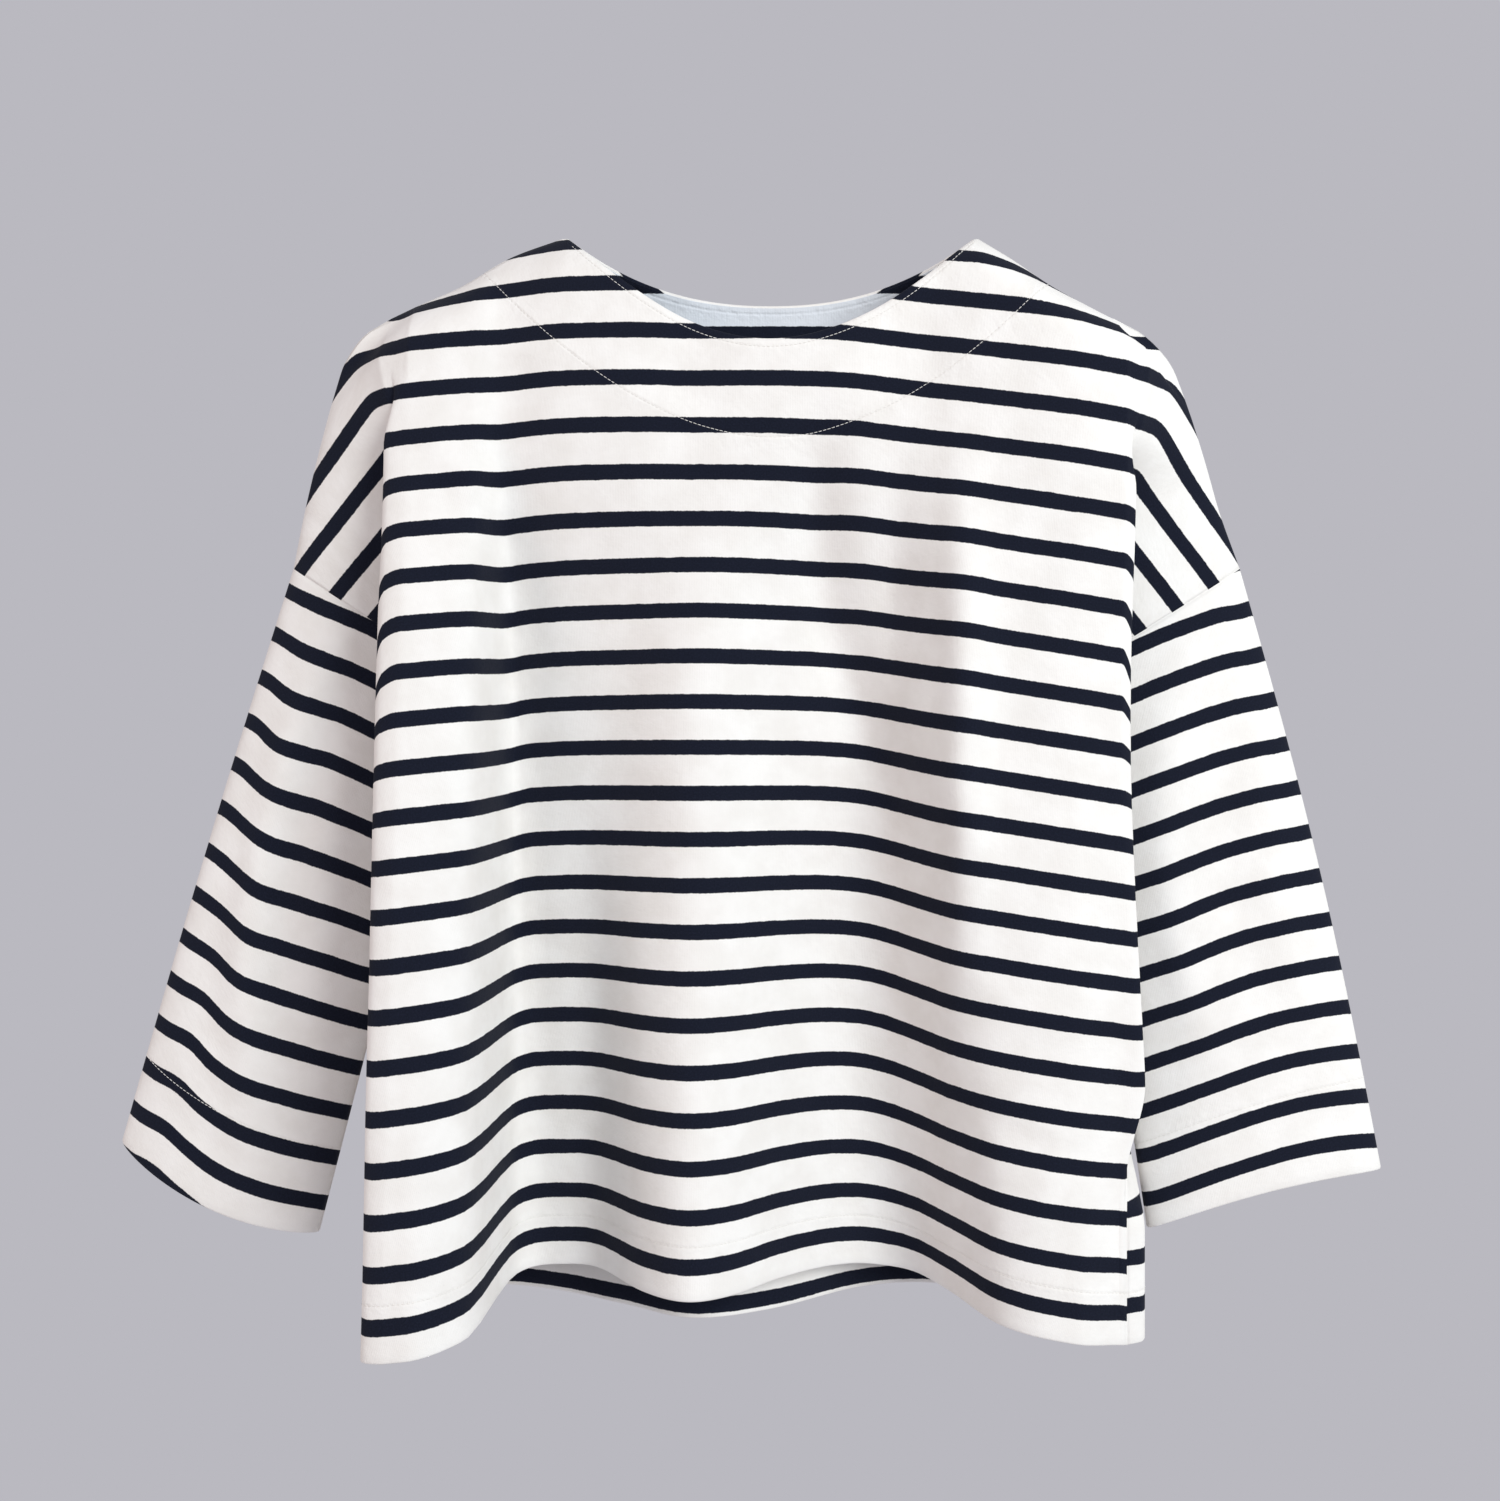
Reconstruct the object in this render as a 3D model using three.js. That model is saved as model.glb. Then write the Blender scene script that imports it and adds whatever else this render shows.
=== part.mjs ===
// A long-sleeved striped top with a wide neck and dropped shoulders, hollow, as it hangs from its shoulders.
// Millimetres: X to the right of the picture, Y away from the viewer, Z up.
// The origin lies between the two points where neck and shoulder meet.
import * as THREE from "three";

// Cloth
const CLOTH = 1.5;
const HEM_CLOTH = 2.4;
const FACING_CLOTH = 1;
const SEAM_GAP = 0.4;
const FACING_GAP = 0.6;

// Neck
const NECK_CENTRE = 4;
const NECK_HALF_WIDTH = 133;
const NECK_TOP = 3;
const FRONT_NECK = { drop: 71, power: 1.9 };
const BACK_NECK = { drop: 37, power: 2.2 };
const FACING_HALF_WIDTH = 185;
const FACING_TOP = -23;
const FACING_DEPTH = 62;
const FACING_SHOULDER_DEPTH = 14;

// Body
const CHEST_LINE = -61;
const STRIPE_FALL = 600;
const FRONT_HEM = -679;
const BACK_HEM = -705;
const CHEST_EDGE = 226;
const UNDERARM = { x: 196, y: 40, z: -283 };

// The side folds' reach from the middle, and the side seam's low end
const SIDES = {
  left: { reach: 242, hemReach: 240, seamX: 236, seamY: -38, hem: -692 },
  right: { reach: 234, hemReach: 247, seamX: 233, seamY: 6, hem: -708 },
  level: -566,
};

// Where the cloth sinks at each side, for each millimetre outside the level part of the chest
const DROOP = { left: -140, leftRate: 0.11, right: 50, rightRate: 0.16, round: 25 };

// The shoulder line, from the neck out and down the upper arm to the armhole seam
const SHOULDER = [
  { z: 3, left: -129, right: 137, y: 12 },
  { z: -10, left: -166, right: 160, y: 14 },
  { z: -27, left: -197, right: 187, y: 17 },
  { z: -41, left: -231, right: 215, y: 20 },
  { z: -55, left: -259, right: 245, y: 23 },
  { z: -72, left: -274, right: 264, y: 26 },
  { z: -88, left: -281, right: 273, y: 29 },
  { z: -138, left: -296, right: 291, y: 34 },
  { z: -172, left: -305, right: 302, y: 37 },
  { z: -208, left: -313, right: 316, y: 40 },
];
const CAP_LEVEL = -55;
const CAP_INSIDE = 8;
const ROLL_POWER = 2.4;

// The side fold's turns, from the chest round to the back of the fold
const FOLD_TURNS = [
  { inside: 4, back: 0.2 },
  { inside: 0, back: 0.55 },
  { inside: 3, back: 1 },
  { inside: 22, back: 1.35 },
];
const FOLD_ROOM = 14;
const FOLD_SHARE = 0.35;
const FOLD_ROLLED_BY = 0.455;
const CREASE = { open: 17, power: 0.8 };

// Below the underarm the side seam first runs further in, clear of the sleeve
const TUCK = { depth: 11, length: 40 };

// Crests and troughs of the front, left to right: how far back the cloth lies at the chest line,
// half way down and at the hem
const FRONT_FOLDS = [
  { x: -226, chest: -10, middle: -46, hem: -81 },
  { x: -205, chest: -9, middle: -40, hem: -79 },
  { x: -185, chest: -6, middle: -25, hem: -62 },
  { x: -177, chest: -4, middle: -7, hem: -38 },
  { x: -171, chest: -2, middle: 18, hem: 22 },
  { x: -160, chest: -2, middle: 34, hem: 50 },
  { x: -138, chest: -6, middle: 37, hem: 57 },
  { x: -112, chest: -8, middle: 34, hem: 48 },
  { x: -78, chest: -8, middle: 20, hem: 8 },
  { x: -50, chest: -5, middle: 11, hem: -16 },
  { x: -22, chest: -6, middle: 18, hem: -3 },
  { x: 10, chest: -8, middle: 33, hem: 30 },
  { x: 45, chest: -9, middle: 43, hem: 56 },
  { x: 80, chest: -8, middle: 38, hem: 65 },
  { x: 105, chest: -9, middle: 8, hem: 54 },
  { x: 124, chest: -13, middle: -6, hem: 18 },
  { x: 150, chest: -18, middle: -7, hem: -3 },
  { x: 195, chest: -25, middle: -7, hem: -11 },
  { x: 226, chest: -23, middle: -3, hem: -4 },
];

// Crests and troughs of the back
const BACK_FOLDS = [
  { x: -226, chest: 46, middle: 85, hem: 96 },
  { x: -185, chest: 46, middle: 88, hem: 104 },
  { x: -142, chest: 43, middle: 80, hem: 92 },
  { x: -95, chest: 44, middle: 78, hem: 70 },
  { x: -48, chest: 44, middle: 72, hem: 47 },
  { x: 4, chest: 44, middle: 78, hem: 62 },
  { x: 68, chest: 44, middle: 88, hem: 100 },
  { x: 120, chest: 43, middle: 84, hem: 106 },
  { x: 175, chest: 46, middle: 84, hem: 84 },
  { x: 226, chest: 46, middle: 85, hem: 92 },
];

// Sleeves: the cuff's outer and inner ends, how far the outer edge bows out, and how far the cuff's middle
// hangs below its ends
const SLEEVES = {
  left: { outerX: -427, outerZ: -588, innerX: -298, innerZ: -651, bow: 2, sag: 11 },
  right: { outerX: 410, outerZ: -606, innerX: 266, innerZ: -647, bow: 6, sag: -8 },
};

// Half of the arm's and sleeve's thickness, and how it opens below the shoulder
const ARM_HALF = { top: 17.5, cuff: 16 };
const ARM_OPENS = { from: 0.1, rate: 1.5 };
const ARM_START = 0.95;
const SLEEVE_CLEAR = 6.5;

// Steps of each sheet
const UPPER_ROWS = 9;
const LOWER_ROWS = 13;
const WING_STEPS = 6;
const SLEEVE_ROWS = 13;
const CHEST_STEP = 19;
const FACING_ROWS = 3;

// Rows that the turned-up hems cover
const HEM_ROWS = { panel: 1, sleeve: 2 };

const mix = THREE.MathUtils.lerp;
const clamp = THREE.MathUtils.clamp;
const ease = (t) => THREE.MathUtils.smoothstep(t, 0, 1);
const point = (x, y, z) => new THREE.Vector3(x, y, z);

// A value of a table's column between its rows, on a smooth curve through them.
function between(table, along, column, at) {
  const rising = table[table.length - 1][along] > table[0][along];
  const rows = rising ? table : [...table].reverse();
  const last = rows.length - 1;
  const x = clamp(at, rows[0][along], rows[last][along]);
  let i = 0;
  while (i < last - 1 && x > rows[i + 1][along]) i += 1;
  const [a, b] = [rows[i], rows[i + 1]];
  const width = b[along] - a[along];
  const slope = (k) => {
    const lo = rows[Math.max(k - 1, 0)];
    const hi = rows[Math.min(k + 1, last)];
    return ((hi[column] - lo[column]) / (hi[along] - lo[along])) * width;
  };
  const t = (x - a[along]) / width;
  const rise = b[column] - a[column];
  const bend = t * (1 - t) * ((1 - t) * (slope(i) - rise) - t * (slope(i + 1) - rise));
  return a[column] + rise * t + bend;
}

// A value that goes through three others, at the chest line, half way down and at the hem.
function down(top, middle, hem, share) {
  const s = clamp(share, 0, 1.1);
  return top * (1 - s) * (1 - 2 * s) + middle * 4 * s * (1 - s) + hem * s * (2 * s - 1);
}

function droop(x) {
  const soft = (d) => (d + Math.hypot(d, DROOP.round)) / 2;
  return DROOP.leftRate * soft(DROOP.left - x) + DROOP.rightRate * soft(x - DROOP.right);
}

function neckLevel(neck, x) {
  const u = Math.abs((x - NECK_CENTRE) / NECK_HALF_WIDTH);
  return NECK_TOP - neck.drop * (1 - Math.min(u, 1) ** neck.power);
}

// The shoulder line's level and depth above a place on the chest.
function shoulderAt(x) {
  const column = x < NECK_CENTRE ? "left" : "right";
  const reach = SHOULDER.filter((row) => row.z >= CAP_LEVEL);
  const inside = Math.abs(x) < Math.abs(SHOULDER[0][column]);
  if (inside) return { z: NECK_TOP, y: SHOULDER[0].y };
  return { z: between(reach, column, "z", x), y: between(reach, column, "y", x) };
}

// The depth of the front or back cloth behind or before a place (x, z).
function depthAt(panel, x, z) {
  const fall = (CHEST_LINE - droop(x) - z) / STRIPE_FALL;
  const values = ["chest", "middle", "hem"].map((key) => between(panel.folds, "x", key, x));
  const hanging = down(...values, fall);
  const shoulder = shoulderAt(x);
  const below = clamp((shoulder.z - z) / panel.roll, 0, 1);
  return mix(shoulder.y, hanging, 1 - (1 - below) ** ROLL_POWER);
}

// The panels: how far below the shoulder each has rolled over, its side of the body, and whether it droops
const FRONT = { folds: FRONT_FOLDS, neck: FRONT_NECK, hem: FRONT_HEM, roll: 42, side: -1, droops: 1 };
const BACK = { folds: BACK_FOLDS, neck: BACK_NECK, hem: BACK_HEM, roll: 60, side: 1, droops: 0 };

const sideOf = (side) => (side < 0 ? "left" : "right");
const onNeckEdge = (place) => Math.abs(place.x - NECK_CENTRE) < NECK_HALF_WIDTH - SEAM_GAP;

function topAt(panel, x) {
  return Math.min(shoulderAt(x).z, neckLevel(panel.neck, x));
}

function hemAt(panel, x) {
  return panel.hem - panel.droops * (droop(x) - droop(NECK_CENTRE));
}

// The lower edge of the neck facing, which is also a row of the panel.
function facingLine(panel, x) {
  const u = Math.abs((x - NECK_CENTRE) / FACING_HALF_WIDTH);
  const middle = neckLevel(panel.neck, NECK_CENTRE) - FACING_DEPTH;
  const line = FACING_TOP - (FACING_TOP - middle) * (1 - u ** panel.neck.power);
  return Math.min(line, shoulderAt(x).z - FACING_SHOULDER_DEPTH);
}

// The level of a row: the facing's rows, then the rest of the armhole's depth, then down to the hem.
function rowLevel(top, line, hem, row) {
  if (row <= FACING_ROWS) return mix(top, line, row / FACING_ROWS);
  const armRows = UPPER_ROWS - FACING_ROWS;
  if (row <= UPPER_ROWS) return mix(line, UNDERARM.z, (row - FACING_ROWS) / armRows);
  return mix(UNDERARM.z, hem, (row - UPPER_ROWS) / LOWER_ROWS);
}

// The chest's columns: each crest and trough and both neck points, with wide spaces divided.
function chestColumns(panel) {
  const marks = [...panel.folds.map((row) => row.x), SHOULDER[0].left, SHOULDER[0].right];
  marks.sort((p, q) => p - q);
  const columns = [];
  marks.forEach((x, i) => {
    columns.push(x);
    const parts = Math.ceil(((marks[i + 1] ?? x) - x) / CHEST_STEP);
    for (let k = 1; k < parts; k += 1) columns.push(mix(x, marks[i + 1], k / parts));
  });
  return columns;
}

function chestPoint(panel, x, row) {
  const z = rowLevel(topAt(panel, x), facingLine(panel, x), hemAt(panel, x), row);
  return point(x, depthAt(panel, x, z), z);
}

// The arm's outer edge: the shoulder seam from the cap down to the armhole seam.
function outerEdge(side, row) {
  const level = mix(CAP_LEVEL, SHOULDER[SHOULDER.length - 1].z, row / UPPER_ROWS);
  const at = (key) => between(SHOULDER, "z", key, level);
  return point(at(sideOf(side)), at("y"), level);
}

// The crease behind the side fold, where chest meets arm; below the armhole it is the side seam.
function innerCrease(panel, side, row) {
  const bottom = point(side * UNDERARM.x, UNDERARM.y, UNDERARM.z);
  if (row <= UPPER_ROWS) {
    const share = row / UPPER_ROWS;
    const high = CAP_LEVEL + CAP_INSIDE;
    const at = (key) => between(SHOULDER, "z", key, high);
    const crease = point(at(sideOf(side)), at("y"), high).lerp(bottom, share);
    crease.y += panel.side * CREASE.open * Math.sin(Math.PI * share) ** CREASE.power;
    return crease;
  }
  const low = SIDES[sideOf(side)];
  const z = rowLevel(0, 0, low.hem, row);
  const open = ease((UNDERARM.z - z) / (UNDERARM.z - SIDES.level));
  const tucked = (UNDERARM.z - z) / TUCK.length;
  const x = mix(UNDERARM.x, low.seamX, open) - TUCK.depth * tucked * Math.exp(1 - tucked);
  return point(side * x, mix(UNDERARM.y, low.seamY, open), z);
}

// The rolled side fold between the chest's last column and the crease.
function sideFold(panel, side, row) {
  const edge = chestPoint(panel, side * CHEST_EDGE, row);
  const crease = innerCrease(panel, side, row);
  const rolled = ease(row / UPPER_ROWS / FOLD_ROLLED_BY);
  const { reach, hemReach } = SIDES[sideOf(side)];
  const low = ease((UNDERARM.z - edge.z) / (UNDERARM.z - FRONT_HEM));
  const room = Math.min(Math.abs(crease.y - edge.y) * FOLD_SHARE, FOLD_ROOM);
  return FOLD_TURNS.map((turn, i) => {
    const share = (i + 1) / (FOLD_TURNS.length + 1);
    const smooth = edge.clone().lerp(crease, share);
    const x = side * (mix(reach, hemReach, low) - turn.inside);
    const folded = point(x, edge.y - panel.side * room * turn.back, smooth.z);
    return smooth.lerp(folded, rolled);
  });
}

// A place on a ring of the arm or sleeve, at an angle from its inner end round to its outer end.
function ringPlace(inner, outer, half, start, angle) {
  const across = (Math.cos(start) - Math.cos(angle)) / (Math.cos(start) + 1);
  const place = inner.clone().lerp(outer, across);
  place.y = outer.y + half * Math.sin(angle);
  return place;
}

// Half of the arm's ring above the armhole seam, from the crease out to the shoulder seam.
function wing(panel, side, row) {
  const outer = outerEdge(side, row);
  const inner = innerCrease(panel, side, row);
  const half = ARM_HALF.top * ease(ARM_OPENS.from + (row / UPPER_ROWS) * ARM_OPENS.rate);
  const start = Math.asin(clamp(Math.abs(inner.y - outer.y) / half, 0, ARM_START));
  const places = [];
  for (let i = 1; i <= WING_STEPS; i += 1) {
    const angle = mix(start, Math.PI, i / WING_STEPS);
    places.push(ringPlace(inner, outer, panel.side * half, start, angle));
  }
  return places;
}

// One row of a panel, from the left edge to the right; below the armhole it has no wings.
function panelRow(panel, row) {
  const half = (side) => {
    const crease = innerCrease(panel, side, row);
    const arm = row <= UPPER_ROWS ? wing(panel, side, row) : Array(WING_STEPS).fill(null);
    return [...sideFold(panel, side, row), crease, ...arm];
  };
  const chest = chestColumns(panel).map((x) => chestPoint(panel, x, row));
  return [...half(-1).reverse(), ...chest, ...half(1)];
}

// A sheet of places in rows, with no cell where a place is missing. A tube's rows close on themselves.
function sheet(rows, closed = false) {
  const cells = [];
  for (let j = 0; j + 1 < rows.length; j += 1) {
    const count = rows[j].length;
    for (let i = 0; i < (closed ? count : count - 1); i += 1) {
      const next = (i + 1) % count;
      const corners = [[j, i], [j, next], [j + 1, next], [j + 1, i]];
      if (corners.every(([r, c]) => rows[r][c])) cells.push(corners);
    }
  }
  return { rows, cells };
}

// The cloth's direction outwards at each place, from the cells round it.
function directions(cloth, outwards) {
  const normals = cloth.rows.map((row) => row.map(() => new THREE.Vector3()));
  for (const corners of cloth.cells) {
    const [a, b, c, d] = corners.map(([j, i]) => cloth.rows[j][i]);
    const normal = c.clone().sub(a).cross(d.clone().sub(b)).multiplyScalar(outwards);
    corners.forEach(([j, i]) => normals[j][i].add(normal));
  }
  normals.forEach((row) => row.forEach((n) => n.normalize()));
  return normals;
}

// A closed wall: the sheet moved out and in along its directions, and closed round every edge.
function wall(cloth, normals, outwards, outer, inner) {
  const index = new Map();
  const positions = [];
  const vertex = ([j, i], layer) => {
    const name = `${j},${i},${layer}`;
    if (!index.has(name)) {
      const move = layer ? -inner(j, i) : outer;
      const place = cloth.rows[j][i].clone().addScaledVector(normals[j][i], move);
      index.set(name, positions.length / 3);
      positions.push(place.x, place.y, place.z);
    }
    return index.get(name);
  };
  const faces = [];
  const quad = ([a, b, c, d], way) => {
    if (way * outwards > 0) faces.push(a, b, c, a, c, d);
    else faces.push(a, c, b, a, d, c);
  };
  const edges = new Map();
  for (const corners of cloth.cells) {
    quad(corners.map((corner) => vertex(corner, 0)), 1);
    quad(corners.map((corner) => vertex(corner, 1)), -1);
    corners.forEach((from, k) => {
      const to = corners[(k + 1) % corners.length];
      if (!edges.delete(`${to}|${from}`)) edges.set(`${from}|${to}`, [from, to]);
    });
  }
  for (const [from, to] of edges.values()) {
    quad([vertex(from, 1), vertex(to, 1), vertex(to, 0), vertex(from, 0)], 1);
  }
  const geometry = new THREE.BufferGeometry();
  geometry.setAttribute("position", new THREE.Float32BufferAttribute(positions, 3));
  geometry.setIndex(faces);
  geometry.computeVertexNormals();
  return geometry;
}

// At a shoulder seam the cloth faces squarely out of the seam's line.
function squareToSeam(made, [j, i], before, after) {
  const { rows } = made.cloth;
  const along = rows[after[0]][after[1]].clone().sub(rows[before[0]][before[1]]);
  const up = along.x > 0 ? 1 : -1;
  made.normals[j][i].set(-along.z * up, 0, along.x * up).normalize();
}

// Where the next place inside a seam's edge lies, as steps of row and column.
function stepInside(made, j, i) {
  const { last } = made;
  const wingEnd = Math.min(i, last - i) <= WING_STEPS;
  const down = j === 0 && !onNeckEdge(made.cloth.rows[j][i]) ? 1 : 0;
  const up = j === UPPER_ROWS && wingEnd ? 1 : 0;
  const edge = j <= UPPER_ROWS ? 0 : WING_STEPS;
  const corner = j === UPPER_ROWS && (i === WING_STEPS || i === last - WING_STEPS);
  const across = i === edge || (corner && i < last / 2) ? 1 : 0;
  const back = i === last - edge || (corner && i > last / 2) ? 1 : 0;
  return [down - up, across - back];
}

// A panel's cloth with its directions, square to its shoulder seams.
function makePanel(panel) {
  const rows = [];
  for (let row = 0; row <= UPPER_ROWS + LOWER_ROWS; row += 1) rows.push(panelRow(panel, row));
  const cloth = sheet(rows);
  const last = rows[0].length - 1;
  const made = { ...panel, cloth, normals: directions(cloth, panel.side), last };
  for (let i = 0; i <= last; i += 1) {
    const [before, after] = [Math.max(i - 1, 0), Math.min(i + 1, last)];
    if (!onNeckEdge(rows[0][i])) squareToSeam(made, [0, i], [0, before], [0, after]);
  }
  for (let j = 1; j <= UPPER_ROWS; j += 1) {
    const next = Math.min(j + 1, UPPER_ROWS);
    squareToSeam(made, [j, 0], [next, 0], [j - 1, 0]);
    squareToSeam(made, [j, last], [j - 1, last], [next, last]);
  }
  return made;
}

// The edges that meet at a place of a seam take the mean of their directions.
function shareDirection(...edges) {
  const mean = new THREE.Vector3();
  edges.forEach(({ normals, at: [j, i] }) => mean.add(normals[j][i]));
  mean.normalize();
  edges.forEach(({ normals, at: [j, i] }) => normals[j][i].copy(mean));
}

// Each edge of a seam steps back by half the gap.
function stepBack(made) {
  const { rows } = made.cloth;
  const moves = [];
  rows.forEach((row, j) => row.forEach((place, i) => {
    const [dj, di] = place ? stepInside(made, j, i) : [0, 0];
    if (!dj && !di) return;
    const inside = rows[j + dj][i + di].clone().sub(place).setLength(SEAM_GAP / 2);
    moves.push([place, inside]);
  }));
  moves.forEach(([place, move]) => place.add(move));
}

// A sleeve's rings, from the armhole seam to the cuff.
function sleeveRows(side) {
  const sizes = SLEEVES[sideOf(side)];
  const top = outerEdge(side, UPPER_ROWS);
  const armpit = point(side * UNDERARM.x, UNDERARM.y, UNDERARM.z);
  const cuffOuter = point(sizes.outerX, top.y, sizes.outerZ);
  const cuffInner = point(sizes.innerX, top.y, sizes.innerZ);
  const along = cuffInner.clone().add(cuffOuter).sub(armpit).sub(top).normalize();
  const rows = [];
  for (let row = 0; row <= SLEEVE_ROWS; row += 1) {
    const share = row / SLEEVE_ROWS;
    const outer = top.clone().lerp(cuffOuter, share);
    outer.x += side * sizes.bow * Math.sin(Math.PI * share);
    const inner = armpit.clone().lerp(cuffInner, share);
    inner.add(outer.clone().sub(inner).setLength(SLEEVE_CLEAR));
    const half = mix(ARM_HALF.top, ARM_HALF.cuff, share);
    const ring = [];
    for (let k = 0; k < 2 * WING_STEPS; k += 1) {
      const angle = (Math.PI * k) / WING_STEPS;
      const place = ringPlace(inner, outer, -half, 0, angle);
      ring.push(place.addScaledVector(along, sizes.sag * share * Math.sin(angle) ** 2));
    }
    rows.push(ring);
  }
  return rows;
}

function makeSleeve(side) {
  const cloth = sheet(sleeveRows(side), true);
  return { cloth, normals: directions(cloth, -side), side };
}

// The armhole seams: front, back and sleeve share their directions round each ring.
function sewArmhole(front, back, sleeve) {
  const column = (made, k) => (sleeve.side < 0 ? WING_STEPS - k : made.last - WING_STEPS + k);
  for (let k = 1; k < 2 * WING_STEPS; k += 1) {
    const fold = k <= WING_STEPS ? k : 2 * WING_STEPS - k;
    const ring = { normals: sleeve.normals, at: [0, k] };
    const panels = k === WING_STEPS ? [front, back] : [k < WING_STEPS ? front : back];
    const edge = (made) => ({ normals: made.normals, at: [UPPER_ROWS, column(made, fold)] });
    shareDirection(ring, ...panels.map(edge));
  }
  const { rows } = sleeve.cloth;
  rows[0].forEach((place, k) => place.add(rows[1][k].clone().sub(place).setLength(SEAM_GAP / 2)));
}

// The side seams: front and back share their directions from the underarm to the hem.
function sewSides(front, back) {
  for (let j = UPPER_ROWS; j <= UPPER_ROWS + LOWER_ROWS; j += 1) {
    const edge = (made, i) => ({ normals: made.normals, at: [j, i] });
    shareDirection(edge(front, WING_STEPS), edge(back, WING_STEPS));
    shareDirection(edge(front, front.last - WING_STEPS), edge(back, back.last - WING_STEPS));
  }
}

// The facing lies inside the panel, on the same places, from the neck edge to its own lower edge.
function facingSheet(made) {
  const lies = (place) => place && Math.abs(place.x - NECK_CENTRE) < FACING_HALF_WIDTH;
  const rows = made.cloth.rows.slice(0, FACING_ROWS + 1);
  return sheet(rows.map((row) => row.map((place) => (lies(place) ? place : null))));
}

const COTTON = 0xf2efea;
const FACING_COTTON = 0xe6eaef;
const MATT = 0.9;
const group = new THREE.Group();

function add(name, geometry, colour) {
  const material = new THREE.MeshStandardMaterial({ color: colour, roughness: MATT, metalness: 0 });
  const mesh = new THREE.Mesh(geometry, material);
  mesh.name = name;
  group.add(mesh);
}

// A wall's thickness inwards: the turned-up hem is a thicker band.
function hemmed(firstHemRow) {
  return (j) => (j >= firstHemRow ? HEM_CLOTH - CLOTH / 2 : CLOTH / 2);
}

const front = makePanel(FRONT);
const back = makePanel(BACK);
const sleeves = [makeSleeve(-1), makeSleeve(1)];
sewSides(front, back);
sleeves.forEach((sleeve) => sewArmhole(front, back, sleeve));
[front, back].forEach(stepBack);

const panelHem = hemmed(UPPER_ROWS + LOWER_ROWS - HEM_ROWS.panel);
const sleeveHem = hemmed(SLEEVE_ROWS - HEM_ROWS.sleeve);
add("front", wall(front.cloth, front.normals, FRONT.side, CLOTH / 2, panelHem), COTTON);
add("back", wall(back.cloth, back.normals, BACK.side, CLOTH / 2, panelHem), COTTON);
sleeves.forEach(({ cloth, normals, side }) => {
  add(`sleeve_${sideOf(side)}`, wall(cloth, normals, -side, CLOTH / 2, sleeveHem), COTTON);
});

const facingTop = CLOTH / 2 + FACING_GAP;
const facingUnder = () => facingTop + FACING_CLOTH;
[["neck_facing_front", front], ["neck_facing_back", back]].forEach(([name, made]) => {
  const facing = wall(facingSheet(made), made.normals, made.side, -facingTop, facingUnder);
  add(name, facing, FACING_COTTON);
});

export default group;
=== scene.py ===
"""A long-sleeved striped cotton top with a wide neck, filled out with no wearer, as it hangs.

Sizes are in millimetres until a mesh is made. X runs to the right of the picture, Y away from the viewer
and Z up. The origin lies between the two points where neck and shoulder meet.
"""
import math

import bpy
import numpy as np
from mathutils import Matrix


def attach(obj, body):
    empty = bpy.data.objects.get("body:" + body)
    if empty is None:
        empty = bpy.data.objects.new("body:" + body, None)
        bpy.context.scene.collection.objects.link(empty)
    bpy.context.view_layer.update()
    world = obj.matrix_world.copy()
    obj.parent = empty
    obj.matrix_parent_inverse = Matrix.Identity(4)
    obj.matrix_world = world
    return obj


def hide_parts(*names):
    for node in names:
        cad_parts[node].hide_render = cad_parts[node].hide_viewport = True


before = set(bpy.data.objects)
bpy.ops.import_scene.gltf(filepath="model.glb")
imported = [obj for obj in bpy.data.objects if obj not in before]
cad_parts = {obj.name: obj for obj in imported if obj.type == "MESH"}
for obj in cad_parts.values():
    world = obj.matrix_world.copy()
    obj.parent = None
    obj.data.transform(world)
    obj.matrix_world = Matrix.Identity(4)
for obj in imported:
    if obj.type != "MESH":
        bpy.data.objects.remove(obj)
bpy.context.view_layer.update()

MM = 0.001


def table(columns, *rows):
    """A table with named columns, each an array."""
    return dict(zip(columns.split(), np.array(rows, float).T))


# Cloth
CLOTH = 1.2
FACING_CLOTH = 0.9
FACING_INSIDE = 2.5
TURN_RADIUS = 0.8

# Stripes: navy bands of half width NAVY_HALF, one to each REPEAT
REPEAT = 30
NAVY_HALF = 5

# Neck
NECK_CENTRE = 4
NECK_HALF_WIDTH = 133
NECK_TOP = 3
FACING_HALF_WIDTH = 185
FACING_TOP = -23
FACING_DEPTH = 62
FACING_SHOULDER_DEPTH = 14

# Body
CHEST_LINE = -61
STRIPE_FALL = 600
FOLDS_START = 0.3
CHEST_EDGE = 226
UNDERARM = {"x": 196, "y": 40, "z": -283}

# The side folds' reach from the middle, and the side seam's low end
SIDES = {
    -1: {"reach": 242, "hem_reach": 240, "seam_x": 236, "seam_y": -38, "hem": -692},
    1: {"reach": 234, "hem_reach": 247, "seam_x": 233, "seam_y": 6, "hem": -708},
}
SIDE_LEVEL = -566

# Low on the right the back's cloth comes forward round the side, to a seam that faces the front
WRAP = {"from": -540, "over": 100, "seam_x": 231, "seam_y": -3}
WRAP_TURNS = table("x y", (244, 85), (232, 60), (245, 18), (243, 3))

# Where the cloth sinks at each side, for each millimetre outside the level part of the chest
DROOP = {"left": -140, "left_rate": 0.11, "right": 50, "right_rate": 0.16, "round": 25}

# Between two folds the front's middle rides a little higher
LIFT = {"by": 4, "left": -185, "left_over": 30, "right": 120, "right_over": 60}

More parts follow.
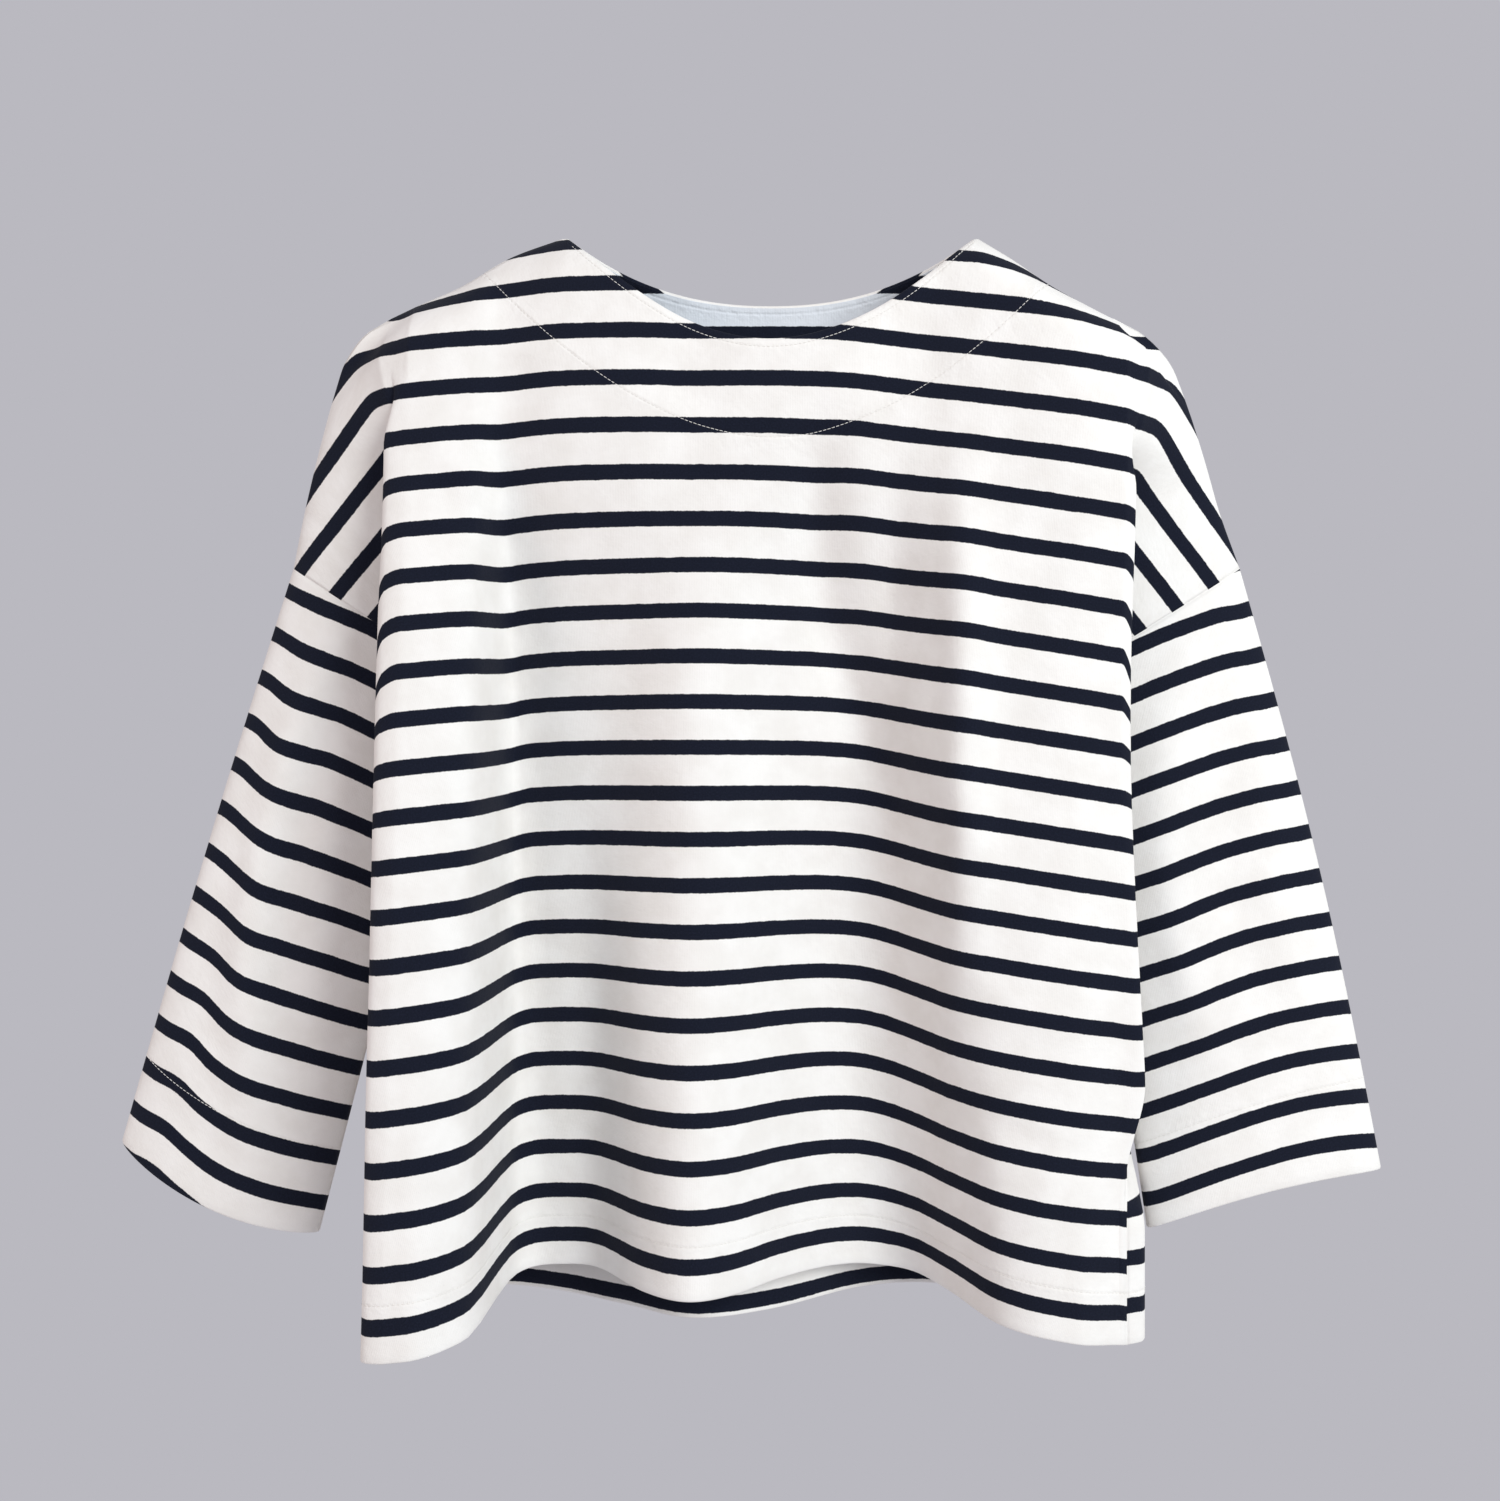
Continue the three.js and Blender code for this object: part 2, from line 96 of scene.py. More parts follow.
# The shoulder line, from the neck out and down the upper arm to the armhole seam
SHOULDER = table(
    "z left right y",
    (3, -129, 137, 12), (-10, -166, 160, 14), (-27, -197, 187, 17), (-41, -231, 215, 20),
    (-55, -259, 245, 23), (-72, -274, 264, 26), (-88, -281, 273, 29), (-138, -296, 291, 34),
    (-172, -305, 302, 37), (-208, -313, 316, 40),
)
CAP_LEVEL = -55
CAP_INSIDE = 8
ARMHOLE_END = -208
ROLL_POWER = 2.4

# The side fold's turns, from the chest round to the back of the fold
FOLD_TURNS = table("inside back", (4, 0.2), (0, 0.55), (3, 1), (22, 1.35))
FOLD_ROOM = 14
FOLD_SHARE = 0.35
CREASE = {"open": 17, "power": 0.8}

# Places just before and just past the side fold, which give its curve its first and last directions
FOLD_ENDS = {"inside": 9, "past": 0.3}

# The levels from which the side folds roll up, left and right, and over what fall
FOLD_ROLLED = {-1: -90, 1: -118, "over": 50}

# Over the cap the cloth still runs level, further out and further forward than the crease below
CAP = {"line": -66, "over": 34, "fade": 55}
CAP_OUT = {-1: 9, 1: 20}
CAP_ENDS = {-1: -100, 1: -122}

# Below the underarm the side seam first runs further in, clear of the sleeve
TUCK = {"depth": 11, "length": 40}

# Crests and troughs of the front and back, left to right: how far back the cloth lies at the chest line,
# half way down and at the hem
FRONT_FOLDS = table(
    "x chest middle hem",
    (-226, -10, -46, -81), (-205, -9, -40, -79), (-185, -6, -25, -60), (-178, -4, 6, -38),
    (-171, -2, 42, 36), (-160, -2, 48, 56), (-138, -6, 43, 59), (-112, -8, 36, 50), (-78, -8, 18, 4),
    (-50, -5, 11, -14), (-22, -6, 17, -3), (10, -8, 33, 30), (45, -9, 44, 57), (80, -8, 41, 72),
    (105, -9, 13, 71), (124, -13, -10, 45), (150, -18, -8, -2), (195, -25, -8, -15), (226, -23, -3, -4),
)
BACK_FOLDS = table(
    "x chest middle hem",
    (-226, 46, 85, 96), (-185, 46, 88, 104), (-142, 43, 80, 92), (-95, 44, 78, 70), (-48, 44, 72, 47),
    (4, 44, 78, 62), (68, 44, 88, 100), (120, 43, 84, 106), (175, 46, 84, 84), (226, 46, 85, 92),
)
PANELS = {
    "front": {"folds": FRONT_FOLDS, "neck_drop": 71, "neck_power": 1.9, "hem": -679, "roll": 42,
              "side": -1, "droops": 1, "cap": {-1: 17, 1: 26}, "stripe": -61, "cloth_per_fall": 1 / 0.9975},
    "back": {"folds": BACK_FOLDS, "neck_drop": 37, "neck_power": 2.2, "hem": -705, "roll": 60,
             "side": 1, "droops": 0, "cap": {-1: 5, 1: 5}, "stripe": -47, "cloth_per_fall": 651 / 658},
}

# Sleeves: the cuff's ends, how far the outer edge bows out, how far the cuff's middle hangs below its ends
SLEEVES = {
    -1: {"name": "sleeve_left", "outer": (-427, -588), "inner": (-291, -651), "bow": 2, "sag": 11},
    1: {"name": "sleeve_right", "outer": (410, -606), "inner": (249, -647), "bow": 6, "sag": -8},
}
# How far the knit runs off level round each sleeve, from its inner end to its outer end, at five places
# between the armhole and the cuff
DRIFT = {
    -1: table(
        "share top upper middle lower cuff",
        (0, 2, 6, 8, 5, 1), (0.2, 3, 7, 8.5, 7, 4), (0.35, 4, 8, 8, 6.5, 5), (0.5, 3, 5.5, 3, 4.5, 7),
        (0.6, 0, 0, -1, 5, 11), (0.7, -3, -4, 0, 9.5, 13.5), (0.82, -6, -2, 1, 6, 9.5),
        (1, -7, -4.5, -1.5, 3, 6),
    ),
    1: table(
        "share top upper middle lower cuff",
        (0, 6, 5, 3, 2, 2), (0.2, 5, 4, 2.5, 1.5, 1.5), (0.35, 2, 2, 0, 1, 3),
        (0.5, -2, -2, -1, 2, 4.5), (0.6, -6, -5, -2.5, 2, 5), (0.7, -10, -8.5, -4.5, 1, 4.5),
        (0.82, -16, -13, -7.5, -1, 3), (1, -19, -16, -10, -4, 0),
    ),
}
SLEEVE_LENGTH = 385
SLEEVE_STRIPE_START = 22
SLEEVE_CLEAR = 6.5
ARM_HALF = {"top": 17.5, "cuff": 16}
ARM_OPENS = {"from": 0.1, "rate": 1.5}
ARM_START = 0.95

# How soft ridges and troughs bow and end, and how far from a seam they have their full height
WRINKLE = {"bow": 0.08, "aside": 0.05, "half": 0.4, "seam": 18}

# Soft ridges and troughs: the ends of each in x and z, its half width and how far it stands out
CREASES_OF = {
    "front": table(
        "x0 z0 x1 z1 width height",
        (14, -92, 92, -400, 17, -5.5), (46, -96, 128, -420, 19, 4.5), (-20, -150, -46, -420, 24, 3.2),
        (-84, -170, -78, -470, 20, -3), (150, -250, 60, -330, 15, 2.2),
        (186, -300, 120, -345, 12, -1.8), (-222, -120, -150, -190, 11, 1.8),
        (-215, -150, -165, -205, 9, -1.6), (214, -150, 160, -215, 11, -2),
        (120, -470, 210, -515, 9, 1.3), (132, -560, 214, -592, 10, -1.5), (60, -560, 96, -520, 8, 1.2),
        (-200, -430, -120, -470, 12, -1.4), (-30, -520, 30, -545, 10, 1.2),
        (-150, -610, -110, -560, 8, 1.2), (168, -640, 190, -560, 9, 1.4), (-70, -88, -20, -112, 9, -1),
        (100, -60, 150, -92, 9, 1.4), (-190, -62, -120, -80, 10, 1.4),
    ),
    "back": table(
        "x0 z0 x1 z1 width height",
        (-60, -110, -110, -430, 19, -4.5), (-20, -120, -50, -440, 22, 3.6),
        (70, -120, 104, -400, 20, -3.8), (150, -160, 90, -300, 16, 2.6),
        (-190, -180, -120, -300, 15, 2.2), (-150, -260, -60, -330, 12, -1.8),
        (206, -140, 150, -210, 11, -1.8), (-212, -130, -158, -205, 10, -1.6),
        (140, -480, 205, -520, 10, 1.4), (-196, -520, -120, -560, 11, -1.5),
        (20, -540, 76, -520, 9, 1.2), (-40, -600, 0, -560, 8, 1.1), (-110, -70, -60, -92, 9, 1.2),
        (84, -64, 140, -88, 9, -1.1),
    ),
    "sleeve_left": table(
        "x0 z0 x1 z1 width height",
        (-298, -232, -352, -600, 13, 4), (-276, -250, -322, -560, 15, -2.6),
        (-330, -330, -380, -560, 12, -1.8), (-300, -300, -340, -322, 7, -1.1),
        (-262, -380, -316, -402, 8, 1.1), (-300, -470, -356, -500, 8, -1.3),
        (-376, -520, -330, -560, 7, 1.2), (-395, -560, -345, -600, 7, -1.1),
    ),
    "sleeve_right": table(
        "x0 z0 x1 z1 width height",
        (250, -270, 292, -560, 14, 3.2), (288, -250, 340, -560, 16, -2.2),
        (322, -300, 372, -560, 12, 1.6), (262, -330, 300, -350, 7, 1), (280, -420, 336, -440, 8, -1.2),
        (300, -520, 350, -500, 8, 1.2), (344, -560, 392, -580, 7, -1.1), (290, -600, 340, -585, 7, 1.2),
    ),
}

# Turned edges and stitch lines
HEM_HEIGHT = 32
SLEEVE_HEM = 58
NECK_TURN = 8
NECK_STITCH = 4
FACING_STITCH = 1.5
FACING_STRIPE = -51

# How far inside the shoulder seams the neck's turned edge and its stitches end
NECK_ENDS = {"turn": 1, "stitches": 2}

# A distance from which a seam or a stitch line no longer tells
FAR = 400

# Rows of a panel down to the facing's edge, the underarm and the hem, and each row's fine steps
FACING_ROWS, UPPER_ROWS, LOWER_ROWS = 3, 9, 13
FINE_ROWS = {"facing": 5, "arm": 6, "body": 7}
CHEST_STEP = 3.5
FOLD_STEPS = 6
WING_STEPS = 40
SLEEVE_STEP = 5

# Edges of a mesh that turn by more than this many degrees stay sharp
SHARP_TURN = 50


def mix(a, b, share):
    return a + (b - a) * share


def ease(t):
    t = np.clip(t, 0, 1)
    return t * t * (3 - 2 * t)


def unit(v):
    return v / np.maximum(np.linalg.norm(v, axis=-1, keepdims=True), 1e-9)


def between(rows, along, column, at):
    """A value of a table's column between its rows, on a smooth curve through them."""
    order = np.argsort(rows[along])
    xs, ys = rows[along][order], rows[column][order]
    last = len(xs) - 1
    before, after = np.maximum(np.arange(last + 1) - 1, 0), np.minimum(np.arange(last + 1) + 1, last)
    slopes = (ys[after] - ys[before]) / (xs[after] - xs[before])
    x = np.clip(at, xs[0], xs[-1])
    i = np.clip(np.searchsorted(xs, x, side="right") - 1, 0, last - 1)
    width, rise = xs[i + 1] - xs[i], ys[i + 1] - ys[i]
    t = (x - xs[i]) / width
    bend = (1 - t) * (slopes[i] * width - rise) - t * (slopes[i + 1] * width - rise)
    return ys[i] + rise * t + t * (1 - t) * bend


def down(top, middle, hem, share):
    """A value that goes through three others, at the chest line, half way down and at the hem."""
    s = np.clip(share, 0, 1.1)
    value = top * (1 - s) * (1 - 2 * s) + middle * 4 * s * (1 - s) + hem * s * (2 * s - 1)
    return mix(top, value, ease(s / FOLDS_START))


def lift(x):
    left, right = (x - LIFT["left"]) / LIFT["left_over"], (LIFT["right"] - x) / LIFT["right_over"]
    return LIFT["by"] * ease(left) * ease(right)


def droop(x):
    soft = lambda d: (d + np.hypot(d, DROOP["round"])) / 2
    left = DROOP["left_rate"] * soft(DROOP["left"] - x)
    return left + DROOP["right_rate"] * soft(x - DROOP["right"]) - lift(x)


def neck_level(panel, x):
    u = np.abs((x - NECK_CENTRE) / NECK_HALF_WIDTH)
    return NECK_TOP - panel["neck_drop"] * (1 - np.minimum(u, 1) ** panel["neck_power"])


def shoulder_at(x, column):
    """The shoulder line's level or depth above a place on the chest."""
    reach = {key: values[SHOULDER["z"] >= CAP_LEVEL] for key, values in SHOULDER.items()}
    left, right = (between(reach, side, column, x) for side in ("left", "right"))
    return np.where(x < NECK_CENTRE, left, right)


def depth_at(panel, x, z):
    """The depth of the front or back cloth at a place (x, z)."""
    fall = (CHEST_LINE - droop(x) - z) / STRIPE_FALL
    hanging = down(*(between(panel["folds"], "x", key, x) for key in ("chest", "middle", "hem")), fall)
    below = np.clip((shoulder_at(x, "z") - z) / panel["roll"], 0, 1)
    return mix(shoulder_at(x, "y"), hanging, 1 - (1 - below) ** ROLL_POWER)


def facing_line(panel, x):
    """The lower edge of the neck facing, which is also a row of the panel."""
    u = np.abs((x - NECK_CENTRE) / FACING_HALF_WIDTH)
    middle = neck_level(panel, NECK_CENTRE) - FACING_DEPTH
    line = FACING_TOP - (FACING_TOP - middle) * (1 - u ** panel["neck_power"])
    return np.minimum(line, shoulder_at(x, "z") - FACING_SHOULDER_DEPTH)


def row_level(top, line, hem, row):
    """A row's level: the facing's rows, then the rest of the armhole's depth, then down to the hem."""
    facing = mix(top, line, row / FACING_ROWS)
    arm = mix(line, UNDERARM["z"], (row - FACING_ROWS) / (UPPER_ROWS - FACING_ROWS))
    body = mix(UNDERARM["z"], hem, (row - UPPER_ROWS) / LOWER_ROWS)
    return np.where(row <= FACING_ROWS, facing, np.where(row <= UPPER_ROWS, arm, body))


def chest(panel, x, row):
    """The chest's places at columns x and rows row."""
    top = np.minimum(shoulder_at(x, "z"), neck_level(panel, x))
    hem = panel["hem"] - panel["droops"] * droop(x)
    z = row_level(top, facing_line(panel, x), hem, row)
    return np.stack(np.broadcast_arrays(x, depth_at(panel, x, z), z), axis=-1)


def outer_edge(side, row):
    """The shoulder seam from the cap down the arm to the armhole seam."""
    level = mix(CAP_LEVEL, ARMHOLE_END, row / UPPER_ROWS)
    column = "left" if side < 0 else "right"
    return np.stack([between(SHOULDER, "z", column, level), between(SHOULDER, "z", "y", level), level], -1)


def wrap_at(side, z):
    """How far the cloth has come round the right side at a level."""
    return ease((WRAP["from"] - z) / WRAP["over"]) if side > 0 else np.zeros_like(z)


def inner_crease(panel, side, row):
    """The crease behind the side fold; below the armhole it is the side seam."""
    bottom = np.array([side * UNDERARM["x"], UNDERARM["y"], UNDERARM["z"]])
    column, high = ("left" if side < 0 else "right"), CAP_LEVEL + CAP_INSIDE
    top = np.array([between(SHOULDER, "z", column, high), between(SHOULDER, "z", "y", high), high])
    low = SIDES[side]
    z = row_level(high, CAP["line"], low["hem"], row)
    share = np.clip((high - z) / (high - UNDERARM["z"]), 0, 1)
    upper = mix(top, bottom, share[:, None])
    cap = ease((high - z) / CAP["over"]) * (1 - ease((CAP_ENDS[side] - z) / CAP["fade"]))
    opened = CREASE["open"] * np.sin(np.pi * share) ** CREASE["power"]
    upper[:, 1] += panel["side"] * (opened + panel["cap"][side] * cap)
    upper[:, 0] += side * CAP_OUT[side] * cap
    opened = ease((UNDERARM["z"] - z) / (UNDERARM["z"] - SIDE_LEVEL))
    tucked = np.maximum(UNDERARM["z"] - z, 0) / TUCK["length"]
    x = mix(UNDERARM["x"], low["seam_x"], opened) - TUCK["depth"] * tucked * np.exp(1 - tucked)
    lower = np.stack([side * x, mix(UNDERARM["y"], low["seam_y"], opened), z], axis=-1)
    seam = np.stack([np.full_like(z, WRAP["seam_x"]), np.full_like(z, WRAP["seam_y"]), z], axis=-1)
    lower = mix(lower, seam, wrap_at(side, z)[:, None] ** 2)
    return np.where(row[:, None] <= UPPER_ROWS, upper, lower)


def smooth_curve(points, steps):
    """A smooth curve through points[1:-1], with steps places to each stretch, the first left out."""
    spans = np.linalg.norm(np.diff(points, axis=0), axis=-1, keepdims=True) + 1e-6
    slopes = (points[2:] - points[:-2]) / (spans[1:] + spans[:-1])
    places = []
    for i in range(len(slopes) - 1):
        start, end, span = points[i + 1], points[i + 2], spans[i + 1]
        for t in np.arange(1, steps + 1) / steps:
            bend = (1 - t) * (slopes[i] * span - (end - start)) - t * (slopes[i + 1] * span - (end - start))
            places.append(mix(start, end, t) + t * (1 - t) * bend)
    return np.array(places)


def side_fold(panel, side, row):
    """The rolled side fold, from just past the chest's edge to the crease."""
    edge = chest(panel, np.full(len(row), float(side * CHEST_EDGE)), row)
    inside = chest(panel, np.full(len(row), float(side * (CHEST_EDGE - FOLD_ENDS["inside"]))), row)
    crease = inner_crease(panel, side, row)
    wrap = wrap_at(side, crease[:, 2])
    flat = (1 - wrap) ** 2 if panel["side"] < 0 else 1
    rolled = (ease((FOLD_ROLLED[side] - crease[:, 2]) / FOLD_ROLLED["over"]) * flat)[:, None]
    low = ease((UNDERARM["z"] - edge[:, 2]) / (UNDERARM["z"] - PANELS["front"]["hem"]))
    room = np.minimum(np.abs(crease[:, 1] - edge[:, 1]) * FOLD_SHARE, FOLD_ROOM)
    reach = mix(SIDES[side]["reach"], SIDES[side]["hem_reach"], low)
    turns = []
    for i, (turn_inside, back) in enumerate(zip(FOLD_TURNS["inside"], FOLD_TURNS["back"])):
        smooth = mix(edge, crease, (i + 1) / (len(FOLD_TURNS["back"]) + 1))
        x, y = side * (reach - turn_inside), edge[:, 1] - panel["side"] * room * back
        if panel["side"] > 0:
            x, y = mix(x, WRAP_TURNS["x"][i], wrap), mix(y, WRAP_TURNS["y"][i], wrap)
        turns.append(mix(smooth, np.stack([x, y, smooth[:, 2]], axis=-1), rolled))
    beyond = crease + (crease - turns[-1]) * FOLD_ENDS["past"]
    return smooth_curve(np.array([inside, edge, *turns, crease, beyond]), FOLD_STEPS)


def ring_place(inner, outer, half, start, angle):
    """A place on a ring of the arm or sleeve, at an angle from its inner end round to its outer end."""
    across = (np.cos(start) - np.cos(angle)) / (np.cos(start) + 1)
    place = mix(inner, outer, across[:, None])
    place[:, 1] = outer[:, 1] + half * np.sin(angle)
    return place


def wing(panel, side, row):
    """Half of the arm's ring above the armhole seam, from the crease out to the shoulder seam."""
    outer, inner = outer_edge(side, row), inner_crease(panel, side, row)
    half = ARM_HALF["top"] * ease(ARM_OPENS["from"] + row / UPPER_ROWS * ARM_OPENS["rate"])
    start = np.arcsin(np.clip(np.abs(inner[:, 1] - outer[:, 1]) / half, 0, ARM_START))
    missed = inner[:, 1] - outer[:, 1] - panel["side"] * half * np.sin(start)
    places = []
    for share in np.arange(1, WING_STEPS + 1) / WING_STEPS:
        place = ring_place(inner, outer, panel["side"] * half, start, mix(start, np.pi, share))
        place[:, 1] += missed * (1 - share) ** 3
        places.append(place)
    return np.array(places)


class Cloth:
    """Places of a sheet of cloth in rows and columns, and its direction outwards at each. u runs across and
    v along the cloth, seam is the distance to the nearest seam, and line how far a place lies from the
    nearest line of stitches."""

    FACTS = ("u", "v", "seam", "line")

    def __init__(self, places, outwards, closed=False):
        self.places, self.outwards, self.closed = places, outwards, closed
        self.normals = None
        for name in self.FACTS:
            setattr(self, name, np.full(places.shape[:2], float(FAR)))


def corners(values, closed):
    """The four corners' values of each cell of a grid."""
    wide = np.concatenate([values, values[:, :1]], axis=1) if closed else values
    return wide[:-1, :-1], wide[:-1, 1:], wide[1:, 1:], wide[1:, :-1]


def directions(cloth):
    """The cloth's direction outwards at each place, from the cells round it."""
    a, b, c, d = corners(cloth.places, cloth.closed)
    normals = np.nan_to_num(np.cross(c - a, d - b)) * cloth.outwards
    rows, columns = cloth.places.shape[:2]
    summed = np.zeros((rows, columns + 1, 3))
    for down_by, across_by in ((0, 0), (0, 1), (1, 1), (1, 0)):
        summed[down_by:down_by + rows - 1, across_by:across_by + normals.shape[1]] += normals
    if cloth.closed:
        summed[:, 0] += summed[:, columns]
    return unit(summed[:, :columns])


def lengths_along(places, axis):
    """How far each place lies along the cloth from the first one that is there."""
    steps = np.linalg.norm(np.diff(places, axis=axis), axis=-1)
    zero = np.zeros_like(np.take(steps, [0], axis=axis))
    return np.cumsum(np.nan_to_num(np.concatenate([zero, steps], axis=axis)), axis=axis)


def fine_rows():
    """Where the rows of a panel's fine grid lie, in rows of the coarse one."""
    parts = (
        np.arange(0, FACING_ROWS, 1 / FINE_ROWS["facing"]),
        np.arange(FACING_ROWS, UPPER_ROWS, 1 / FINE_ROWS["arm"]),
        np.linspace(UPPER_ROWS, UPPER_ROWS + LOWER_ROWS, LOWER_ROWS * FINE_ROWS["body"] + 1),
    )
    return np.concatenate(parts)


ROWS = fine_rows()
ARM_ROWS = int(np.searchsorted(ROWS, UPPER_ROWS - 1e-6)) + 1
CHEST_COLUMNS = np.linspace(-CHEST_EDGE, CHEST_EDGE, round(2 * CHEST_EDGE / CHEST_STEP) + 1)
FOLD_COLUMNS = FOLD_STEPS * (len(FOLD_TURNS["back"]) + 1)
CREASES = (WING_STEPS, WING_STEPS + 2 * FOLD_COLUMNS + len(CHEST_COLUMNS) - 1)


def panel_places(panel):
    """A panel's places, from its left edge to its right; below the armholes it has no wings."""
    halves = {}
    for side in (-1, 1):
        arm = wing(panel, side, ROWS)
        arm[:, ARM_ROWS:] = np.nan
        halves[side] = np.concatenate([side_fold(panel, side, ROWS), arm])
    middle = chest(panel, CHEST_COLUMNS[:, None], ROWS[None, :])
    return np.concatenate([halves[-1][::-1], middle, halves[1]]).transpose(1, 0, 2)


# Slanting stripes on the upper arms: a place that one of them passes, their slope, and how far v grows for
# each millimetre of fall
ARM_STRIPES = {
    -1: {"x": -270, "z": -75.6, "slope": 1.15},
    1: {"x": 274, "z": -101.5, "slope": -1.25},
}
ARM_CLOTH_PER_FALL = 0.652

# Where level stripes turn into slanting ones: how gently, how far out the shoulder's roll still tells and
# the cloth still sinks, and how soon below the underarm the stripes are level again
TURN_OF_STRIPES = {"soft": 5, "roll_over": 35, "droop_to": 236, "below": 35}

# The fall over which stripes come to ride higher between two folds, the rows over which the cloth rolls
# over the shoulder, and how much of that roll v takes up
LIFTED_BELOW = 300
ROLL_ROWS = FACING_ROWS + 2
ROLL_TELLS = 0.3


def arm_stripe(x, z, side):
    """The place along the cloth of the slanting stripes on the upper arm, left or right."""
    line = ARM_STRIPES[side]
    return ARM_CLOTH_PER_FALL * (line["z"] + line["slope"] * (x - line["x"]) - z)


def panel_stripes(panel, cloth):
    """v on a panel: level stripes on the chest that turn into slanting ones on the arms."""
    x, z = cloth.places[..., 0], cloth.places[..., 2]
    limit = TURN_OF_STRIPES["droop_to"]
    low = ease((CHEST_LINE - z) / LIFTED_BELOW)
    sunk = panel["droops"] * (droop(np.clip(x, -limit, limit)) + lift(x) * (1 - low))
    level = (panel["stripe"] - z - sunk) * panel["cloth_per_fall"]
    step = np.diff(cloth.places, axis=0)
    longer = np.nan_to_num(np.linalg.norm(step[..., 1:], axis=-1) - np.abs(step[..., 2]))
    longer[ROWS[1:] > ROLL_ROWS] = 0
    rolled = np.concatenate([np.cumsum(longer[::-1], axis=0)[::-1], np.zeros((1, x.shape[1]))]) * ROLL_TELLS
    v = level - rolled
    below = np.exp(-np.maximum(UNDERARM["z"] - z, 0) / TURN_OF_STRIPES["below"])
    for side, crease in zip((-1, 1), CREASES):
        edge = crease - side * FOLD_COLUMNS
        beyond = np.arange(0, edge + 1) if side < 0 else np.arange(edge, x.shape[1])
        there = np.abs(x[:, beyond]) - CHEST_EDGE
        over = np.interp(z[0, beyond] - z[:, beyond], z[0, edge] - z[:, edge], rolled[:, edge])
        over = over * (1 - ease(there / TURN_OF_STRIPES["roll_over"]))
        plain = level[:, beyond] - over
        arm = arm_stripe(x[:, beyond], z[:, beyond], side)
        slanting = (plain + arm - np.hypot(plain - arm, TURN_OF_STRIPES["soft"])) / 2
        share = ease(np.abs(beyond - edge) / FOLD_COLUMNS)
        v[:, beyond] = mix(plain, slanting, share * below[:, beyond])
    return v


def wrinkle(cloth, creases, outwards):
    """Lays soft ridges and troughs on the cloth along lines in x and z. They fade towards seams."""
    x, z = cloth.places[..., 0], cloth.places[..., 2]
    moved = np.zeros(x.shape)
    for x0, z0, x1, z1, width, height in zip(*creases.values()):
        length = math.hypot(x1 - x0, z1 - z0)
        along = ((x - x0) * (x1 - x0) + (z - z0) * (z1 - z0)) / length ** 2
        aside = ((z - z0) * (x1 - x0) - (x - x0) * (z1 - z0)) / length
        bow = WRINKLE["bow"] * np.sin(np.pi * np.clip(along, 0, 1)) - WRINKLE["aside"]
        aside = aside + bow * length
        moved += height * np.exp(-(aside / width) ** 2 - ((along - 0.5) / WRINKLE["half"]) ** 4)
    cloth.places[..., 1] += outwards * moved * ease(cloth.seam / WRINKLE["seam"])


def seam_distances(cloth):
    """How far each place of a panel lies from its shoulder, armhole or side seam."""
    across, along = lengths_along(cloth.places, 1), lengths_along(cloth.places, 0)
    seam = np.full(across.shape, float(FAR))
    off_neck = np.abs(cloth.places[0, :, 0] - NECK_CENTRE) > NECK_HALF_WIDTH
    seam[:, off_neck] = np.minimum(seam[:, off_neck], along[:, off_neck])
    upper, last = slice(0, ARM_ROWS), across.shape[1] - 1
    seam[upper] = np.minimum(seam[upper], across[upper] - across[upper, :1])
    seam[upper] = np.minimum(seam[upper], across[upper, last:] - across[upper])
    for side, crease in zip((-1, 1), CREASES):
        wings = slice(0, crease + 1) if side < 0 else slice(crease, None)
        to_ring = along[ARM_ROWS - 1:ARM_ROWS, wings] - along[upper, wings]
        seam[upper, wings] = np.minimum(seam[upper, wings], to_ring)
    lower = slice(ARM_ROWS - 1, None)
    for crease in CREASES:
        seam[lower] = np.minimum(seam[lower], np.abs(across[lower] - across[lower, crease:crease + 1]))
    return seam


def nearest(*distances):
    """The signed distance that is nearest to nought, at each place."""
    stacked = np.array(np.broadcast_arrays(*distances))
    return np.take_along_axis(stacked, np.abs(stacked).argmin(axis=0)[None], axis=0)[0]


def line_distances(panel, cloth):
    """How far each place lies from the lines of stitches beside the neck edge, at the facing's edge and
    above the hem. Between two lines both distances have the same sign."""
    along = lengths_along(cloth.places, 0)
    x, z = cloth.places[..., 0], cloth.places[..., 2]
    on_neck = np.abs(x[0] - NECK_CENTRE) < NECK_HALF_WIDTH
    off_arm = (np.arange(x.shape[1]) >= CREASES[0]) & (np.arange(x.shape[1]) <= CREASES[1])
    u = np.abs((x - NECK_CENTRE) / FACING_HALF_WIDTH)
    middle = neck_level(panel, NECK_CENTRE) - FACING_DEPTH
    facing = FACING_TOP - (FACING_TOP - middle) * (1 - u ** panel["neck_power"]) + FACING_STITCH - z
    return {
        "neck": np.where(on_neck, NECK_STITCH - along, -FAR),
        "facing": np.nan_to_num(facing, nan=FAR),
        "hem": np.where(off_arm, along[-1:] - along - HEM_HEIGHT, FAR),
    }


def make_panel(name):
    panel = PANELS[name]
    cloth = Cloth(panel_places(panel), panel["side"])
    across = lengths_along(cloth.places, 1)
    middle = across.shape[1] // 2
    cloth.u = across - across[:, middle:middle + 1]
    cloth.v = panel_stripes(panel, cloth)
    cloth.seam = seam_distances(cloth)
    wrinkle(cloth, CREASES_OF[name], panel["side"])
    cloth.lines = line_distances(panel, cloth)
    cloth.line = nearest(*cloth.lines.values())
    return cloth


